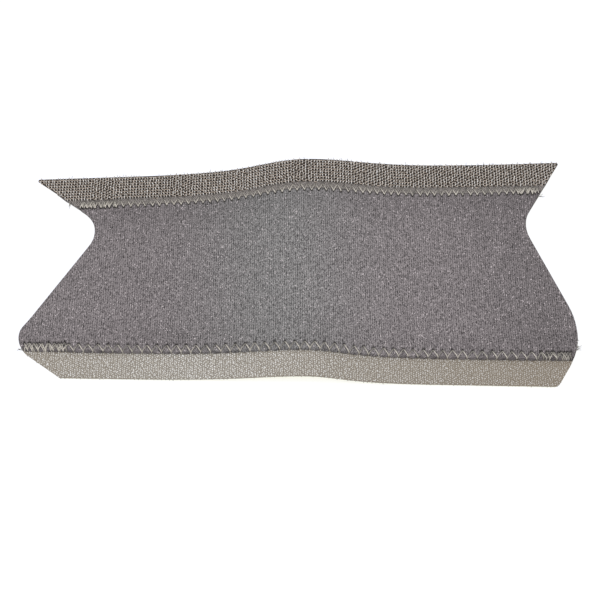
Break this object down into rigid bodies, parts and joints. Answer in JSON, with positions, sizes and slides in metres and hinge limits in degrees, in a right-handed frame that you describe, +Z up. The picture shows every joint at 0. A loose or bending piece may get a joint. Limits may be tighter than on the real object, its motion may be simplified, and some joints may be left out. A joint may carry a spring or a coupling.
{
  "type": "bicycle frame protector",
  "caption": "Soft neoprene guard that wraps round a bicycle chainstay, with zigzag-sewn hook and loop tapes along its long edges and cut-away ends.",
  "frame": {"origin": "middle of the guard's footprint, on the surface it lies on", "axes": "+X along the guard to its wide end, +Y across it to the hook tape, +Z up"},
  "size_m": [0.25, 0.1138, 0.0148],
  "materials": {
    "neoprene": "matte charcoal jersey knit on foam",
    "hook_nylon": "grey nylon hooks with a slight sheen",
    "loop_nylon": "matte grey woven back",
    "thread": "grey sewing thread with a soft lustre"
  },
  "bodies": {
    "root": {"neoprene_panel": "neoprene", "hook_tape": "hook_nylon", "loop_tape": "loop_nylon", "hook_seam_needle_thread": "thread", "hook_seam_bobbin_thread": "thread", "loop_seam_needle_thread": "thread", "loop_seam_bobbin_thread": "thread"}
  },
  "joints": []
}
